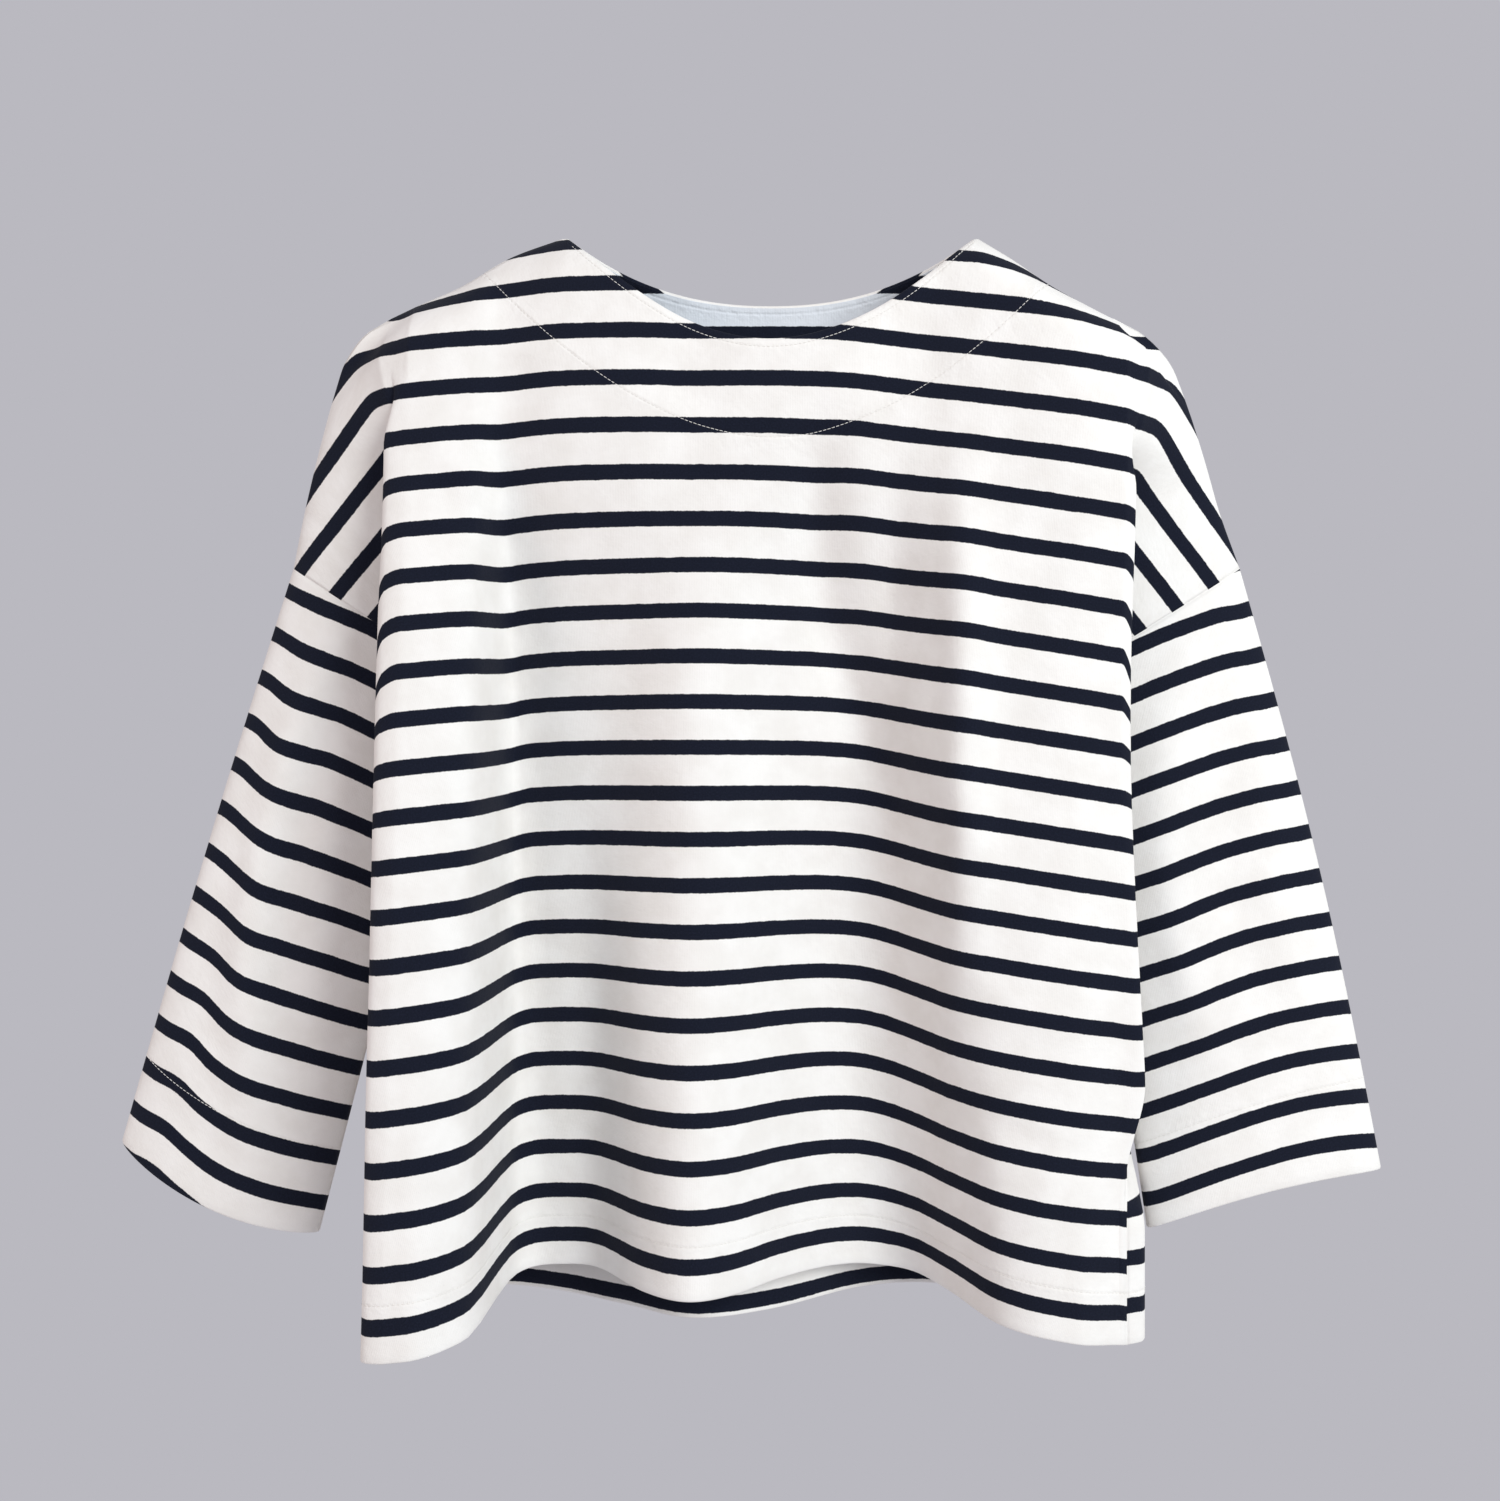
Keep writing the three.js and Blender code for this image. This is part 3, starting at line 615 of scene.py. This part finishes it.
def drift(side, share):
    """How far the knit runs off level at shares of a sleeve's length, for each column of its rings."""
    turn = np.arange(2 * WING_STEPS) / WING_STEPS
    column = np.minimum(turn, 2 - turn)
    lengths = [name for name in DRIFT[side] if name != "share"]
    values = np.array([between(DRIFT[side], "share", name, column) for name in lengths])
    marks = np.linspace(0, 1, len(lengths))
    return np.array([np.interp(share, marks, values[:, k]) for k in range(len(column))]).T


def make_sleeve(side):
    """A sleeve's rings, from the armhole seam to the cuff, each from its inner end round the front."""
    sizes = SLEEVES[side]
    top = outer_edge(side, np.array([float(UPPER_ROWS)]))
    armpit = np.array([[side * UNDERARM["x"], UNDERARM["y"], UNDERARM["z"]]])
    ends = {end: np.array([[sizes[end][0], top[0, 1], sizes[end][1]]]) for end in ("outer", "inner")}
    along = unit(ends["outer"] + ends["inner"] - top - armpit)
    share = np.linspace(0, 1, round(SLEEVE_LENGTH / SLEEVE_STEP) + 1)[:, None]
    outer, inner = mix(top, ends["outer"], share), mix(armpit, ends["inner"], share)
    outer[:, 0] += side * sizes["bow"] * np.sin(np.pi * share[:, 0])
    inner += unit(outer - inner) * SLEEVE_CLEAR
    half = mix(ARM_HALF["top"], ARM_HALF["cuff"], share[:, 0])
    rings = []
    for k in range(2 * WING_STEPS):
        angle = np.pi * k / WING_STEPS
        ring = ring_place(inner, outer, -half, 0, np.full(len(share), angle))
        rings.append(ring + along * sizes["sag"] * share * np.sin(angle) ** 2)
    cloth = Cloth(np.array(rings).transpose(1, 0, 2), -side, closed=True)
    across = lengths_along(cloth.places, 1)
    cloth.u = across
    cloth.v = SLEEVE_STRIPE_START + share * SLEEVE_LENGTH + drift(side, share[:, 0])
    cloth.seam = np.minimum(share * SLEEVE_LENGTH, np.minimum(across, across[:, -1:] - across))
    cloth.line = (1 - share) * SLEEVE_LENGTH - SLEEVE_HEM + np.zeros_like(across)
    turn = np.pi * np.arange(2 * WING_STEPS) / WING_STEPS
    wrinkle(cloth, CREASES_OF[sizes["name"]], -np.sin(turn))
    return cloth


def share_directions(*edges):
    """The directions that meet at a seam take their mean."""
    mean = unit(sum(edge.copy() for edge in edges))
    for edge in edges:
        edge[...] = mean


def sew(front, back, sleeves):
    """Gives all the cloth its directions, the same on both sides of each seam."""
    for cloth in (front, back, *sleeves.values()):
        cloth.normals = directions(cloth)
    ring, last = ARM_ROWS - 1, front.places.shape[1] - 1
    for column in np.nonzero(np.abs(front.places[0, :, 0] - NECK_CENTRE) > NECK_HALF_WIDTH)[0]:
        share_directions(front.normals[0, column], back.normals[0, column])
    for column in (0, last):
        share_directions(front.normals[1:ring, column], back.normals[1:ring, column])
    for side, crease in zip((-1, 1), CREASES):
        share_directions(front.normals[ring:, crease], back.normals[ring:, crease])
        for k in range(1, 2 * WING_STEPS):
            panels = [front, back] if k == WING_STEPS else [front if k < WING_STEPS else back]
            column = crease + side * min(k, 2 * WING_STEPS - k)
            edges = [panel.normals[ring, column] for panel in panels]
            share_directions(sleeves[side].normals[0, k], *edges)


def turned(cloth, height, at_neck=False):
    """The cloth turned in over its last row or its neck edge, and running back inside for a height."""
    order = slice(None) if at_neck else slice(None, None, -1)
    places, n, v = cloth.places[order], cloth.normals[order], cloth.v[order]
    far = np.linalg.norm(places - places[:1], axis=-1)
    count = int(np.argmax(np.nanmedian(far, axis=1) > height)) + 1
    over = unit(places[0] - places[1])
    bends = np.radians((45, 90, 135))
    rows = [places[0] + TURN_RADIUS * (n[0] * (math.cos(a) - 1) + over * math.sin(a)) for a in bends]
    reach = [np.full(far.shape[1], TURN_RADIUS * a) for a in bends]
    for k in range(count):
        rows.append(places[k] - 2 * TURN_RADIUS * n[k])
        reach.append(TURN_RADIUS * math.pi + far[k])
    made = Cloth(np.array(rows), cloth.outwards, cloth.closed)
    made.v = v[0] + np.sign(np.nanmean(v[0] - v[1])) * np.array(reach)
    made.u = np.repeat(cloth.u[order][:1], len(rows), axis=0)
    made.seam = np.repeat(cloth.seam[order][:1], len(rows), axis=0)
    if not at_neck:
        made.line[:] = -FAR
        return made
    shoulders = np.abs(cloth.places[0, :, 0] - NECK_CENTRE) > NECK_HALF_WIDTH - NECK_ENDS["turn"]
    made.places[:, shoulders] = np.nan
    return reordered(made, slice(None, None, -1))


def reordered(cloth, rows, columns=slice(None)):
    """The same cloth with only these rows and columns."""
    made = Cloth(cloth.places[rows, columns].copy(), cloth.outwards, cloth.closed)
    for name in Cloth.FACTS:
        setattr(made, name, getattr(cloth, name)[rows, columns].copy())
    if cloth.normals is not None:
        made.normals = cloth.normals[rows, columns].copy()
    return made


def with_turned_edges(cloth, hem_height, neck_height=0):
    """The cloth with its hem turned up inside, and its neck edge turned down if it has one."""
    parts = [turned(cloth, neck_height, at_neck=True)] if neck_height else []
    first = len(parts[0].places) if parts else 0
    parts += [cloth, turned(cloth, hem_height)]
    whole = Cloth(np.concatenate([part.places for part in parts]), cloth.outwards, cloth.closed)
    for name in Cloth.FACTS:
        setattr(whole, name, np.concatenate([getattr(part, name) for part in parts]))
    whole.normals = directions(whole)
    whole.normals[first:first + len(cloth.places)] = cloth.normals
    return whole


def facing_of(panel):
    """The neck facing: the panel's own places near the neck, moved inside it."""
    columns = np.nonzero(np.abs(panel.places[0, :, 0] - NECK_CENTRE) < FACING_HALF_WIDTH)[0]
    facing = reordered(panel, slice(0, int(np.searchsorted(ROWS, FACING_ROWS)) + 1),
                       slice(columns[0], columns[-1] + 1))
    facing.places -= facing.normals * FACING_INSIDE
    facing.v = FACING_STRIPE - facing.places[..., 2]
    facing.seam[:], facing.line[:] = FAR, nearest(facing.line)
    return facing


def shell(cloth, thickness):
    """The places and faces of a closed wall: the cloth's two layers, and the rims between their edges."""
    there = ~np.isnan(cloth.places[..., 0])
    number = np.full(there.shape, -1)
    number[there] = np.arange(there.sum())
    cells = np.stack(corners(number, cloth.closed), axis=-1).reshape(-1, 4)
    cells = cells[(cells >= 0).all(axis=1)]
    outer = cells if cloth.outwards > 0 else cells[:, ::-1]
    count = int(there.sum())
    starts, ends = outer.ravel(), np.roll(outer, -1, axis=1).ravel()
    rim = ~np.isin(starts * count + ends, ends * count + starts)
    p, q = starts[rim], ends[rim]
    faces = np.concatenate([outer, outer[:, ::-1] + count, np.stack([q, p, p + count, q + count], axis=-1)])
    places, normals = cloth.places[there], cloth.normals[there]
    places = np.concatenate([places + normals * thickness / 2, places - normals * thickness / 2])
    facts = {name: np.tile(getattr(cloth, name)[there], 2) for name in Cloth.FACTS}
    return places, faces, facts


def piece(name, places, faces, material, facts=None):
    """An object of these places in millimetres and faces, with its facts kept for its material."""
    mesh = bpy.data.meshes.new(name)
    mesh.from_pydata((np.asarray(places) * MM).tolist(), [], np.asarray(faces).tolist())
    mesh.materials.append(material)
    mesh.shade_smooth()
    if facts:
        at = np.zeros(len(mesh.loops), np.int32)
        mesh.loops.foreach_get("vertex_index", at)
        uv = np.stack([facts["u"], facts["v"]], axis=-1)[at] * MM
        mesh.uv_layers.new(name="cloth").data.foreach_set("uv", uv.astype(np.float32).ravel())
        for fact in ("seam", "line"):
            layer = mesh.attributes.new(fact, "FLOAT", "POINT")
            layer.data.foreach_set("value", facts[fact].astype(np.float32))
    mesh.set_sharp_from_angle(angle=math.radians(SHARP_TURN))
    made = bpy.data.objects.new(name, mesh)
    bpy.context.scene.collection.objects.link(made)
    return made


# Stitches, and one stitch's outline: how far along it each ring lies, how thick it is and how far it rises
STITCH = {"length": 2.4, "gap": 0.5, "radius": 0.22, "proud": 0.11, "sides": 6}
STITCH_RINGS = ((-0.5, 0.2, -0.5), (-0.3, 0.9, 0.6), (0, 1, 1), (0.3, 0.9, 0.6), (0.5, 0.2, -0.5))


def stitch_line(cloth, distances):
    """The places and directions of the line where the distances pass nought, one for each column."""
    places, normals = [], []
    for column in range(distances.shape[1]):
        values = distances[:, column]
        crossings = np.nonzero((values[:-1] > 0) != (values[1:] > 0))[0]
        if not len(crossings) or np.isnan(cloth.places[crossings[0] + 1, column, 0]):
            continue
        i = crossings[0]
        t = values[i] / (values[i] - values[i + 1])
        places.append(mix(cloth.places[i, column], cloth.places[i + 1, column], t))
        normals.append(mix(cloth.normals[i, column], cloth.normals[i + 1, column], t))
    return np.array(places), unit(np.array(normals))


def stitch_rings(centre, ahead, up):
    """The places round one stitch, ring by ring."""
    beside = np.cross(up, ahead)
    turns = np.arange(STITCH["sides"]) * 2 * np.pi / STITCH["sides"]
    places = []
    for along, thick, rise in STITCH_RINGS:
        middle = centre + ahead * along * STITCH["length"] + up * (CLOTH / 2 + rise * STITCH["proud"])
        round_it = [beside * np.cos(turn) + up * np.sin(turn) for turn in turns]
        places += [middle + STITCH["radius"] * thick * way for way in round_it]
    return places


def stitches(name, lines, material):
    """A row of short threads that lie along each line, just proud of the cloth."""
    sides = STITCH["sides"]
    places, faces = [], []
    for path, normals in lines:
        steps = np.linalg.norm(np.diff(path, axis=0), axis=1)
        far = np.concatenate([[0], np.cumsum(steps)])
        count = int(far[-1] / (STITCH["length"] + STITCH["gap"]))
        for s in (np.arange(count) + 0.5) * far[-1] / count:
            centre = np.array([np.interp(s, far, path[:, k]) for k in range(3)])
            up = unit(np.array([np.interp(s, far, normals[:, k]) for k in range(3)]))
            i = min(np.searchsorted(far, s), len(steps)) - 1
            first = len(places)
            places += stitch_rings(centre, unit(path[i + 1] - path[i]), up)
            for ring in range(len(STITCH_RINGS) - 1):
                for k in range(sides):
                    a, b = first + ring * sides + k, first + ring * sides + (k + 1) % sides
                    faces.append((a, b, b + sides, a + sides))
    return piece(name, places, faces, material)


class Nodes:
    """A material's node tree, written as formulas."""

    def __init__(self, name):
        self.material = bpy.data.materials.new(name)
        self.material.use_nodes = True
        self.tree = self.material.node_tree
        self.surface = self.tree.nodes["Principled BSDF"]

    def node(self, kind, inputs=(), **settings):
        made = self.tree.nodes.new(kind)
        for key, value in settings.items():
            setattr(made, key, value)
        for socket, value in dict(inputs).items():
            self.set(made.inputs[socket], value)
        return made

    def set(self, socket, value):
        if isinstance(value, bpy.types.NodeSocket):
            self.tree.links.new(value, socket)
        else:
            socket.default_value = value

    def math(self, operation, *values):
        made = self.node("ShaderNodeMath", operation=operation)
        for socket, value in zip(made.inputs, values):
            self.set(socket, value)
        return made.outputs[0]

    def blend(self, share, a, b):
        inputs = {0: share, 6: a, 7: b}
        return self.node("ShaderNodeMix", inputs, data_type="RGBA").outputs[2]

    def noise(self, vector, scale, detail=2.0):
        inputs = {"Vector": vector, "Scale": scale, "Detail": detail, "Roughness": 0.6}
        return self.node("ShaderNodeTexNoise", inputs).outputs["Fac"]

    def step(self, value, low, high):
        inputs = {"Value": value, "From Min": low, "From Max": high}
        return self.node("ShaderNodeMapRange", inputs, interpolation_type="SMOOTHSTEP").outputs[0]

    def away_from(self, name):
        """How far a place lies from the nearest seam or line of stitches."""
        return self.math("ABSOLUTE", self.node("ShaderNodeAttribute", attribute_name=name).outputs["Fac"])

    def valley(self, distance, width, depth):
        near = self.math("MULTIPLY", self.math("POWER", distance, 2.0), -1 / width ** 2)
        return self.math("MULTIPLY", self.math("EXPONENT", near), -depth)


def colour(red, green, blue):
    """A colour given as on a screen, for a shader."""
    shares = (red / 255, green / 255, blue / 255)
    return (*(c / 12.92 if c <= 0.04 else ((c + 0.055) / 1.055) ** 2.4 for c in shares), 1)


# Knit: the spacing of its wales and courses and the height of their relief, the slubs' height, how far and
# how high it puckers beside stitches, and the half width and depth of the valleys at seams and stitches
KNIT = {"wale": 1.1, "course": 0.85, "relief": 0.05, "slub": 0.35, "pucker_reach": 7, "pucker": 1.2}
SEAM_VALLEY = (1.6, 1.1)
LINE_VALLEY = (1.0, 0.4)

# Half of the width over which navy turns to white
STRIPE_EDGE = 0.3


def navy_share(n, cloth, v):
    """How navy the cloth is at a place; the stripes' edges waver a little."""
    uneven = n.math("MULTIPLY_ADD", n.noise(cloth, 0.12), 0.9, -0.45)
    fuzz = n.math("MULTIPLY_ADD", n.noise(cloth, 1.1), 0.8, -0.4)
    shifted = n.math("ADD", n.math("ADD", v, uneven), fuzz)
    to_stripe = n.math("PINGPONG", shifted, REPEAT / 2)
    return n.step(to_stripe, NAVY_HALF + STRIPE_EDGE, NAVY_HALF - STRIPE_EDGE)


def relief(n, cloth, u, v):
    """The knit's wales and courses, its slubs, and the valleys and puckers at seams and stitches."""
    seam, line = n.away_from("seam"), n.away_from("line")
    wale = n.math("ABSOLUTE", n.math("SINE", n.math("MULTIPLY", u, math.pi / KNIT["wale"])))
    course = n.math("ABSOLUTE", n.math("SINE", n.math("MULTIPLY", v, math.pi / KNIT["course"])))
    ribs = n.math("ADD", wale, n.math("MULTIPLY", course, 0.5))
    near = n.math("EXPONENT", n.math("MULTIPLY", line, -1 / KNIT["pucker_reach"]))
    pucker = n.math("MULTIPLY", n.noise(cloth, 0.14, 2), near)
    height = n.math("MULTIPLY", ribs, KNIT["relief"])
    for part in (
        n.math("MULTIPLY", n.noise(cloth, 0.25, 3), KNIT["slub"]),
        n.valley(seam, *SEAM_VALLEY),
        n.valley(line, *LINE_VALLEY),
        n.math("MULTIPLY", pucker, KNIT["pucker"]),
    ):
        height = n.math("ADD", height, part)
    return height


def striped_cotton(name, white, navy):
    """Heavy jersey, white with navy stripes, each in two tones that it mixes softly."""
    n = Nodes(name)
    uv = n.node("ShaderNodeUVMap", uv_map="cloth").outputs[0]
    cloth = n.node("ShaderNodeVectorMath", {0: uv, 3: 1000.0}, operation="SCALE").outputs[0]
    u, v, _ = n.node("ShaderNodeSeparateXYZ", {0: cloth}).outputs
    speckle, mottle = n.noise(cloth, 0.9, 4), n.noise(cloth, 0.03, 3)
    pale = n.blend(n.step(mottle, 0.3, 0.7), white[0], white[1])
    dark = n.blend(n.step(speckle, 0.35, 0.75), navy[0], navy[1])
    n.set(n.surface.inputs["Base Color"], n.blend(navy_share(n, cloth, v), pale, dark))
    n.set(n.surface.inputs["Roughness"], 0.9)
    n.set(n.surface.inputs["Specular IOR Level"], 0.1)
    n.set(n.surface.inputs["Sheen Weight"], 0.03)
    n.set(n.surface.inputs["Sheen Roughness"], 0.6)
    bump = n.node("ShaderNodeBump", {"Height": relief(n, cloth, u, v), "Distance": 0.001, "Strength": 0.8})
    n.set(n.surface.inputs["Normal"], bump.outputs[0])
    return n.material


def thread(name, white):
    n = Nodes(name)
    place = n.node("ShaderNodeTexCoord").outputs["Object"]
    twist = n.noise(place, 2500.0, 2)
    n.set(n.surface.inputs["Base Color"], n.blend(twist, white[0], white[1]))
    n.set(n.surface.inputs["Roughness"], 0.7)
    return n.material


NAVY = (colour(17, 21, 34), colour(25, 29, 44))
COTTON = striped_cotton("striped_cotton", (colour(240, 237, 233), colour(233, 229, 224)), NAVY)
# The facing is the same cloth as the body with cooler, bluer whites: painted cool shade for the cloth
# inside the neck
FACING_COTTON_PAINTED_SHADE = striped_cotton("facing_cotton", (colour(232, 236, 242), colour(226, 230, 236)), NAVY)
THREAD = thread("thread", (colour(236, 233, 228), colour(222, 218, 212)))


# The cut of what shows, in metres: its width and length laid flat, and its area
PANEL_CUT = ((0.70, 0.75), 0.48)
FACING_CUT = ((0.40, 0.13), 0.03)
SLEEVE_CUT = ((0.33, 0.44), 0.14)


def dress(made, node, slot, flat, area, held="hung", going=()):
    """Puts a piece in its node's place: hangs it and the pieces going with it from the root and hides the
    node's own parts.
    """
    for child in going:
        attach(child, "root")
    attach(made, "root")
    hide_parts(node)


def wall_of(cloth, thickness, material):
    places, faces, facts = shell(cloth, thickness)
    return places, faces, material, facts


def closed_line(line):
    """A line that comes back to its start."""
    return tuple(np.concatenate([values, values[:1]]) for values in line)


def panel_lines(cloth):
    """A panel's lines of stitches: the one beside the neck edge, the facing's and the hem's."""
    x = cloth.places[0, :, 0]
    columns = {
        "neck": np.abs(x - NECK_CENTRE) < NECK_HALF_WIDTH - NECK_ENDS["stitches"],
        "facing": np.abs(x - NECK_CENTRE) < FACING_HALF_WIDTH,
        "hem": (np.arange(len(x)) >= CREASES[0]) & (np.arange(len(x)) <= CREASES[1]),
    }
    return [stitch_line(reordered(cloth, slice(None), columns[name]), distances[:, columns[name]])
            for name, distances in cloth.lines.items()]


def make_top():
    panels = {name: make_panel(name) for name in PANELS}
    sleeves = {side: make_sleeve(side) for side in SLEEVES}
    sew(panels["front"], panels["back"], sleeves)
    for name, panel in panels.items():
        whole = with_turned_edges(panel, HEM_HEIGHT, NECK_TURN)
        cloth = piece(f"{name}_panel", *wall_of(whole, CLOTH, COTTON))
        sewn = stitches(f"{name}_stitches", panel_lines(panel), THREAD)
        dress(cloth, name, "striped_cotton", *PANEL_CUT, going=[sewn])
        facing = facing_of(panel)
        lining = piece(f"neck_facing_{name}_cloth", *wall_of(facing, FACING_CLOTH, FACING_COTTON_PAINTED_SHADE))
        dress(lining, f"neck_facing_{name}", "facing_cotton", *FACING_CUT)
    for side, sleeve in sleeves.items():
        name = SLEEVES[side]["name"]
        whole = with_turned_edges(sleeve, SLEEVE_HEM)
        cloth = piece(f"{name}_cloth", *wall_of(whole, CLOTH, COTTON))
        sewn = stitches(f"{name}_stitches", [closed_line(stitch_line(sleeve, sleeve.line))], THREAD)
        dress(cloth, name, "striped_cotton", *SLEEVE_CUT, going=[sewn])


# The camera, as far in front as the picture's perspective shows, and level with the top's middle
CAMERA_PLACE = (-0.0096, -1.0, -0.329)
CAMERA_SENSOR = 36
CAMERA_LENS = CAMERA_SENSOR * 1.04

# The soft lights: place, size, power and tint, and the place that all of them face
LIGHTS = {
    "key": ((1.6, -2.0, 0.5), 1.5, 58, (0.94, 1, 1)),
    "fill": ((-2.0, -1.2, 0.0), 1.2, 10, (1, 0.78, 0.66)),
    "rim": ((-0.8, 2.0, 0.6), 1.4, 16, (1, 1, 1)),
}
LIT_PLACE = (0, 0, -0.35)

# The floor, well below the top
FLOOR_HALF = 1.1
FLOOR_LEVEL = -1.55


def make_camera():
    camera = bpy.data.objects.new("camera", bpy.data.cameras.new("camera"))
    camera.data.sensor_fit = "HORIZONTAL"
    camera.data.sensor_width, camera.data.lens = CAMERA_SENSOR, CAMERA_LENS
    camera.data.clip_start = 0.05
    camera.location = CAMERA_PLACE
    camera.rotation_euler = (math.radians(90), 0, 0)
    bpy.context.scene.collection.objects.link(camera)
    bpy.context.scene.camera = camera


def softbox(name, place, size, power, tint):
    """A large soft light that faces the top."""
    lamp = bpy.data.lights.new(name, "AREA")
    lamp.shape, lamp.size, lamp.energy, lamp.color = "DISK", size, power, tint
    light = bpy.data.objects.new(name, lamp)
    light.location = place
    aim = np.array(place) - np.array(LIT_PLACE)
    tilt = math.acos(aim[2] / np.linalg.norm(aim))
    light.rotation_euler = (tilt, 0, math.atan2(aim[1], aim[0]) + math.pi / 2)
    bpy.context.scene.collection.objects.link(light)


def make_floor():
    corner = [(-1, -1), (1, -1), (1, 1), (-1, 1)]
    mesh = bpy.data.meshes.new("floor")
    mesh.from_pydata([(x * FLOOR_HALF, y * FLOOR_HALF, FLOOR_LEVEL) for x, y in corner], [], [(0, 1, 2, 3)])
    pale = Nodes("floor")
    pale.set(pale.surface.inputs["Base Color"], colour(200, 199, 204))
    pale.set(pale.surface.inputs["Roughness"], 0.9)
    mesh.materials.append(pale.material)
    floor = bpy.data.objects.new("floor", mesh)
    bpy.context.scene.collection.objects.link(floor)


def make_studio():
    """A plain grey surround, a pale floor, cool soft light from the right and weaker warm light from the
    left."""
    scene = bpy.context.scene
    scene.view_settings.view_transform = "Standard"
    scene.world = bpy.data.worlds.new("studio")
    scene.world.use_nodes = True
    ground = scene.world.node_tree.nodes["Background"]
    ground.inputs["Color"].default_value = colour(186, 185, 192)
    ground.inputs["Strength"].default_value = 1
    make_floor()
    for name, settings in LIGHTS.items():
        softbox(name, *settings)


make_camera()
make_studio()
make_top()
